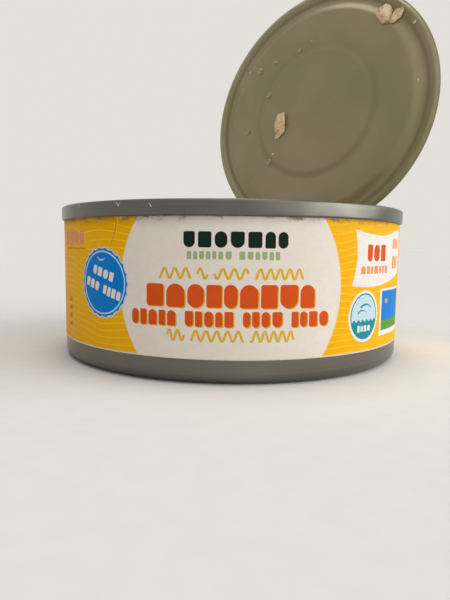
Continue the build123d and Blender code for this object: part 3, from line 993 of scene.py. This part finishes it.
def make_label():
    """The paper, triangulated along the printed shapes, wrapped round the wall and given its back."""
    half_length = pi * LABEL_R + PAPER_OVERLAP
    low, high = LABEL_LOW / MM, LABEL_HIGH / MM
    reach = half_length / MM
    art = label_artwork(reach, low, high)
    points, edges, polygons = [], [], []
    for _, outline in art.shapes:
        polygons.append(list(range(len(points), len(points) + len(outline))))
        points += outline
    columns = 3 * int(2 * reach / 1.9 / 3)
    lines = [((u, low), (u, high)) for u in (-reach + 2 * reach * k / columns for k in range(1, columns))]
    lines += [((-reach, z), (reach, z)) for z in np.linspace(low, high, 10)[1:-1]]
    for ends in lines:
        edges.append((len(points), len(points) + 1))
        points += [Vector(end) for end in ends]
    flat, faces = triangulated(points, edges, polygons)
    inks = list(dict.fromkeys(ink for ink, _ in art.shapes))
    centres = np.array([sum((flat[i] for i in face), Vector((0, 0))) / len(face) for face in faces])
    indices = np.zeros(len(faces), int)
    for ink, outline in art.shapes:
        indices[inside(centres, np.array(outline))] = inks.index(ink)
    mesh = bpy.data.meshes.new("label")
    mesh.from_pydata([wrapped(p.x * MM, p.y * MM, half_length) for p in flat], [], faces)
    for ink in inks:
        mesh.materials.append(ink_look(ink, INKS[ink]))
    mesh.polygons.foreach_set("material_index", indices)
    mesh.update()
    piece = linked("label_paper", mesh)
    add_paper_back(mesh, flat, half_length)
    lay_out(mesh, flat, reach, low, high)
    mesh.shade_smooth()
    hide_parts("label")
    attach(piece, "can")


def inside(places, outline):
    """Which places lie inside a closed outline."""
    found = np.zeros(len(places), bool)
    x, y = places[:, 0], places[:, 1]
    for (ax, ay), (bx, by) in zip(outline, np.roll(outline, -1, axis=0)):
        if ay != by:
            crosses = (ay > y) != (by > y)
            found ^= crosses & (x < (bx - ax) * (y - ay) / (by - ay) + ax)
    return found


def wrapped(u, z, half_length, depth=0.0):
    """A place on the label, given along and up the flat paper, as a point round the can."""
    angle = u / LABEL_R - pi / 2
    radius = LABEL_R - depth + join_lift(u, half_length) - label_wrinkle(u, z)
    return (radius * cos(angle), radius * sin(angle), z)


def label_wrinkle(u, z):
    """Small pits and creases in the paper, deepest under the seam."""
    near_top = smooth((z - (LABEL_HIGH - 3 * MM)) / (3 * MM))
    angle = u / LABEL_R
    coarse = noise.noise(Vector((4 * cos(angle), 4 * sin(angle), z * 150)))
    fine = noise.noise(Vector((30 * cos(angle), 30 * sin(angle), z * 900)))
    return (0.012 + 0.012 * coarse + 0.02 * near_top * (0.5 + 0.5 * fine)) * MM


def add_paper_back(mesh, flat, half_length):
    """Gives the paper its back and cut edges. A point's twin on the back comes len(flat) after it."""
    bm = bmesh.new()
    bm.from_mesh(mesh)
    bm.verts.ensure_lookup_table()
    border = [e for e in bm.edges if e.is_boundary]
    fronts = [[v.index for v in face.verts] for face in bm.faces]
    back = [bm.verts.new(wrapped(place.x * MM, place.y * MM, half_length, 0.8 * PAPER)) for place in flat]
    for corners in fronts:
        bm.faces.new([back[i] for i in reversed(corners)])
    for edge in border:
        a, b = edge.verts
        bm.faces.new((a, b, back[b.index], back[a.index]))
    bmesh.ops.recalc_face_normals(bm, faces=bm.faces)
    bm.to_mesh(mesh)
    bm.free()


def lay_out(mesh, flat, reach, low, high):
    """Texture places: the label in three rows, one over the other, its cut edges and its back."""
    layer = mesh.uv_layers.new(name="OFBake")
    margin = 0.004
    third = 2 * reach / 3
    tall = (high - low) / third * (1 - 2 * margin)
    for face in mesh.polygons:
        corners = [(flat[i % len(flat)], i >= len(flat)) for i in face.vertices]
        middle = [sum(place[i] for place, _ in corners) / len(corners) for i in (0, 1)]
        row = max(0, min(2, int((middle[0] + reach) / third)))
        behind = [inner for _, inner in corners]
        for loop, (place, inner) in zip(face.loop_indices, corners):
            share = (place.y - low) / (high - low)
            u = margin + (1 - 2 * margin) * (place.x + reach) / (2 * reach)
            if all(behind):
                v = 0.99 + 0.006 * share
            elif any(behind):
                v = (0.97 if middle[1] > (low + high) / 2 else 0.94) + (0.015 if inner else 0)
            else:
                u = margin + (1 - 2 * margin) * (place.x + reach - row * third) / third
                v = margin + row * (tall + 2 * margin) + tall * share
            layer.data[loop].uv = (u, v)


# ======== Tuna

def flesh_look():
    """Cooked fish: fine fibres, pale pink-tan with darker grooves, wet on top."""
    look = Look("tuna_flesh", roughness=0.42, coat_weight=0.5, coat_roughness=0.14, subsurface_weight=0.1,
                subsurface_scale=0.0015)
    broad = look.noise(150, 4, 0.55)
    patches = look.noise(60, 2, 0.5)
    fibres = look.noise(900, 4, 0.65, stretch=(1, 0.35, 1))
    pale = look.mix(look.between(patches, 0.38, 0.62), srgb(236, 203, 158), srgb(246, 224, 186))
    tone = look.mix(look.between(broad, 0.42, 0.68), pale, srgb(210, 169, 122))
    look.colour(look.mix(look.between(fibres, 0.5, 0.28), tone, srgb(180, 138, 95)))
    look.rough(look.between(broad, 0.3, 0.7, 0.34, 0.5))
    look.bump(look.maths("ADD", fibres, look.product(broad, 0.5)), 0.3 * MM)
    return look.material


def brine_look():
    """Cloudy drops of brine on the lacquer: its colour, paler, under a wet shine."""
    look = Look("brine", roughness=0.12, coat_weight=0.6, coat_roughness=0.05)
    cloud = look.between(look.noise(900, 2, 0.5), 0.35, 0.65)
    look.colour(look.mix(cloud, srgb(138, 130, 98), srgb(164, 154, 124)))
    look.rough(look.between(cloud, 0, 1, 0.1, 0.2))
    return look.material


FLESH = flesh_look()
BRINE = brine_look()
CORE_TO_WALL = 0.3 * MM
CORE_BELOW_TOP = 4.6 * MM
CORE_CORNER = 2 * MM
GOLDEN_TURN = 2.39996
PRESSED = 0.45
NICK_WIDTH = 0.0035


def random_shift(rng):
    """Another part of the noise for each piece."""
    return Vector([rng.uniform(0, 50) for _ in range(3)])


def points_and_faces(bm):
    """What a bmesh holds, as plain lists. It is freed."""
    points = [v.co.copy() for v in bm.verts]
    faces = [tuple(v.index for v in f.verts) for f in bm.faces]
    bm.free()
    return points, faces


def flake_mesh(rng, size, detail):
    """A torn block of fish with curved layers, as points and faces about the origin."""
    bm = bmesh.new()
    bmesh.ops.create_icosphere(bm, subdivisions=detail, radius=1.0)
    cuts = [(Vector([rng.gauss(0, spread) for spread in (1, 1, 0.8)]).normalized(), rng.uniform(0.55, 0.85))
            for _ in range(9)]
    shift = random_shift(rng)
    layer_count = rng.uniform(3.4, 4.6)
    curve = rng.uniform(-0.35, 0.35)
    for vert in bm.verts:
        point = vert.co.copy()
        for normal, limit in cuts:
            beyond = point.dot(normal) - limit
            if beyond > 0:
                point -= normal * beyond * 0.9
        fibres = noise.noise(Vector((point.x * 1.5, point.y * 7, point.z * 7)) + shift)
        lumps = noise.noise(point * 1.7 + shift)
        grain = (point.y + curve * point.x**2) * layer_count + 0.45 * lumps + 0.2 * point.z
        groove = smooth(1 - abs(grain % 1 - 0.5) * 4.5)
        point *= 1 + 0.08 * fibres + 0.18 * lumps - 0.15 * groove
        vert.co = Vector([share * length for share, length in zip(point, size)]) / 2
    return points_and_faces(bm)


def drop_mesh(rng, size):
    """A low drop, a little out of round, as points and faces about the origin."""
    bm = bmesh.new()
    bmesh.ops.create_icosphere(bm, subdivisions=4, radius=size / 2)
    shift = random_shift(rng)
    for vert in bm.verts:
        vert.co *= 1 + 0.3 * noise.noise(vert.co.normalized() * 0.9 + shift)
        vert.co.z *= 0.35
    return points_and_faces(bm)


def join_flakes(name, flakes, body, look=FLESH):
    """Several flakes, each as points and faces, as one piece."""
    vertices, faces = [], []
    for points, shape in flakes:
        faces += [tuple(i + len(vertices) for i in f) for f in shape]
        vertices += points
    piece = new_piece(name, vertices, faces, look, sharp=radians(80))
    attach(piece, body)


def make_tuna():
    """A core out to the wall, with chunks, flakes and shreds packed over its top."""
    side = TUNA_HIGH.x - CORE_TO_WALL
    level = TUNA_HIGH.z - CORE_BELOW_TOP
    low = TUNA_LOW.z
    section = ((0, low), (side - CORE_CORNER, low), (side, low + CORE_CORNER), (side, level), (0, level))

    def lumps(radius, angle, z):
        place = Vector((radius * cos(angle), radius * sin(angle), 0))
        lift = 1.0 * noise.noise(place * 160) + 0.5 * abs(noise.noise(place * 420))
        return radius, z + (MM * lift if z > level - 1 * MM else 0)

    vertices, faces = lathe(subdivided([Vector(p) for p in section], CORE_ROW), CORE_COLUMNS, lumps)
    core = new_piece("tuna_core", vertices, faces, FLESH)
    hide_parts("tuna")
    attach(core, "can")
    rng = Random(71)
    for name, count, detail, long, wide, tall, below, tips in (
            ("tuna_chunks", 38, 5, (13, 20), (9, 13), (5, 7), (0.5, 1.7), 4),
            ("tuna_flakes", 120, 4, (6, 11), (3.5, 6.5), (1.4, 2.6), (0.9, 2.2), 7),
            ("tuna_shreds", 240, 3, (2.5, 6), (1.0, 2.0), (0.6, 1.2), (1.2, 2.6), 9)):
        pieces = []
        for k in range(count):
            size = tuple(rng.uniform(*span) * MM for span in (long, wide, tall))
            reach = (side - 0.42 * size[0]) * sqrt((k + 0.5) / count)
            turn = k * GOLDEN_TURN + rng.uniform(-0.2, 0.2)
            top = TUNA_HIGH.z - rng.uniform(*below) * MM
            tip = [rng.gauss(0, radians(tips)) for _ in range(2)]
            sunk = 0.42 * size[2] + 0.25 * size[0] * abs(tip[1])
            place = (Matrix.Translation((reach * cos(turn), reach * sin(turn), top - sunk))
                     @ Matrix.Rotation(rng.uniform(0, 2 * pi), 4, "Z")
                     @ Matrix.Rotation(tip[0], 4, "X") @ Matrix.Rotation(tip[1], 4, "Y"))
            points, shape = flake_mesh(rng, size, detail)
            pieces.append(([place @ p for p in points], shape))
        join_flakes(name, pieces, "can")


# ======== What stuck to the lid and rim

def on_lid(flake, radius, angle_deg, turn_deg):
    """A flake's points on the lid's inner face, pressed flat on it. The place is given by the
    distance from the lid's centre and the angle seen from the front: 0 is left and 90 is up."""
    points, faces = flake
    angle, turn = radians(angle_deg), radians(turn_deg)
    under = PRESSED * min(p.z for p in points)
    placed = []
    for p in points:
        across, along = turned(p.x, p.y, turn)
        x, y = across - radius * sin(angle), radius * cos(angle) - along
        above = max(p.z, under) - under - 0.03 * MM
        placed.append(LID_PLACE @ Vector((x, y, lid_height(x, y) - END_PLATE / 2 - above)))
    return placed, faces


def make_lid_flakes():
    """Flakes of fish and a few crumbs that stuck inside the lid."""
    rng = Random(5)
    flakes = []
    for radius, angle, length, width, height, turn in (
            (12.0, -15, 9.6, 4.6, 2.4, 4), (33.8, 129, 8.2, 4.6, 2.2, 25), (35.2, 135, 6.0, 3.0, 1.8, -35),
            (14.4, -29, 2.6, 2.0, 1.0, 60)):
        flake = flake_mesh(rng, (length * MM, width * MM, height * MM), 4)
        flakes.append(on_lid(flake, radius * MM, angle, turn))
    for radius, angle, size in ((33.4, 173, 0.9), (37.3, 145, 1.6), (19.0, -43, 1.0), (23.6, 83, 0.8)):
        flake = flake_mesh(rng, (size * MM, 0.7 * size * MM, 0.5 * size * MM), 2)
        flakes.append(on_lid(flake, radius * MM, angle, rng.uniform(0, 180)))
    join_flakes("lid_flakes", flakes, "lid")
    spots = ((28.6, 37, 2.3), (32.6, 33, 1.5), (19.5, 24, 2.0), (26.1, -8, 2.0), (21.8, -45, 2.2),
             (22.6, 71, 1.4), (25.4, 49, 1.2))
    drops = [on_lid(drop_mesh(rng, size * MM), radius * MM, angle, 0) for radius, angle, size in spots]
    join_flakes("lid_drops", drops, "lid", BRINE)


def make_scratch_glints():
    """Scratches across the seam at the front left, their near-white colour a painted glint on real scratches,
    each as (angle, depth below the top).
    """
    scratches = (
        ((-122.4, 0.12), (-121.9, 0.55), (-121.2, 1.05), (-120.9, 1.4)),
        ((-121.3, 0.95), (-120.8, 0.85), (-120.4, 0.65)),
        ((-111.4, 0.9), (-111.0, 1.2), (-110.8, 1.55)),
        ((-139.3, 0.1), (-139.0, 0.5), (-138.8, 0.95)),
    )
    vertices, faces = [], []
    for scratch in scratches:
        first = len(vertices)
        for k, (angle_deg, depth) in enumerate(scratch):
            width = NICK_WIDTH * (0.4 + 0.6 * sin(pi * (k + 0.5) / len(scratch)))
            shoulder = max(0.0, SEAM_SHOULDER - depth * MM)
            surface = RIM_R - SEAM_SHOULDER + sqrt(SEAM_SHOULDER**2 - shoulder**2)
            for side, lift in ((-1, 0.015), (1, 0.015), (1, -0.05), (-1, -0.05)):
                angle = radians(angle_deg) + side * width / 2
                radius = surface + lift * MM
                vertices.append((radius * cos(angle), radius * sin(angle), RIM_TOP - depth * MM))
        end = 4 * len(scratch)
        strip = grid_faces(len(scratch), 4) + [(0, 1, 2, 3), tuple(range(end - 4, end))]
        faces += [tuple(first + i for i in face) for face in strip]
    piece = new_piece("seam_scratch_glints", vertices, faces, MATERIALS["glinting_scratch"])
    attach(piece, "can")


# ======== Stage, light and camera

FLOOR = srgb(232, 230, 227)
FLOOR_HALF = 60.0
AMBIENT = 0.40
AMBIENT_LEFT, AMBIENT_RIGHT = 0.35 * AMBIENT, 1.65 * AMBIENT
TINT = (1.0, 0.985, 0.96)
# Each lamp's name, where it stands, its strength and its spread in degrees
LAMPS = (
    ("panel", (0.85, -0.05, 0.35), 1.42, 48),
    ("graze", (0.62, -0.72, 0.42), 0.5, 50),
    ("top", (-0.05, 0.05, 0.95), 1.0, 40),
    ("fill", (-0.10, -0.90, 0.50), 0.1, 28),
)
# A lamp that shows in gloss only
SHEEN = ("sheen", (0.91, -0.41, 0.08), 0.85, 36)


def add_stage():
    """A pale floor so wide that its far edge meets the surround."""
    look = Look("floor", roughness=0.8, specular_ior_level=0.0)
    look.colour(look.mix(look.between(look.noise(240, 2, 0.5), 0.3, 0.7), scaled(FLOOR, 0.98), FLOOR))
    mesh = bpy.data.meshes.new("stage")
    corners = [(x * FLOOR_HALF, y * FLOOR_HALF, 0) for x, y in ((-1, -1), (1, -1), (1, 1), (-1, 1))]
    mesh.from_pydata(corners, [], [(0, 1, 2, 3)])
    mesh.materials.append(look.material)
    stage = linked("stage", mesh)


def add_light():
    """A broad soft light from the right, weaker ones overhead and in front, and the surround."""
    for name, towards, strength, spread in LAMPS + (SHEEN,):
        lamp = bpy.data.lights.new(name, "SUN")
        lamp.energy = strength
        lamp.angle = radians(spread)
        lamp.color = TINT
        holder = linked(name, lamp)
        holder.rotation_euler = Vector(towards).to_track_quat("Z", "Y").to_euler()
        holder.visible_diffuse = name != SHEEN[0]
    add_surround()


def add_surround():
    """Light from all round, weaker from the left. Seen directly or in metal, it has the floor's tone."""
    world = bpy.data.worlds.new("surround")
    world.use_nodes = True
    bpy.context.scene.world = world
    tree = world.node_tree
    tree.nodes.remove(tree.nodes["Background"])
    across = add_node(tree, "SeparateXYZ", {0: add_node(tree, "TexCoord", {}, "Generated")}, "X")
    ends = {"From Min": -1.0, "To Min": AMBIENT_LEFT, "To Max": AMBIENT_RIGHT, "Value": across}
    strength = add_node(tree, "MapRange", ends)
    light = add_node(tree, "Background", {"Color": TINT + (1.0,), "Strength": strength})
    falling = sum(power * Vector(towards).normalized().z for _, towards, power, _ in LAMPS)
    tone = tuple(c * t for c, t in zip(FLOOR, TINT)) + (1.0,)
    seen = add_node(tree, "Background", {"Color": tone, "Strength": 0.99 * (AMBIENT + falling / pi)})
    shown = 0.0
    for ray in ("Is Camera Ray", "Is Glossy Ray", "Is Transmission Ray"):
        kind = add_node(tree, "LightPath", {}, ray)
        shown = add_node(tree, "Math", {0: shown, 1: kind}, operation="MAXIMUM")
    both = add_node(tree, "MixShader", {0: shown, 1: light, 2: seen})
    feed(tree, tree.nodes["World Output"].inputs["Surface"], both)


def add_camera():
    camera = bpy.data.cameras.new("camera")
    camera.sensor_fit = "VERTICAL"
    camera.sensor_height = SENSOR
    camera.lens = CAMERA_LENS
    camera.clip_start = 5 * MM
    holder = linked("camera", camera)
    turn = Matrix.Rotation(-CAMERA_TURN, 4, "Z") @ Matrix.Rotation(pi / 2 + CAMERA_PITCH, 4, "X")
    holder.matrix_world = Matrix.Translation(CAMERA_AT) @ turn @ Matrix.Rotation(CAMERA_ROLL, 4, "Z")
    bpy.context.scene.camera = holder


add_camera()
add_stage()
add_light()
make_can_wall()
make_seam()
make_lid()
make_fold()
make_rivet()
make_tab()
make_island()
make_label()
make_tuna()
make_lid_flakes()
make_scratch_glints()
bpy.context.scene.view_settings.view_transform = "Standard"
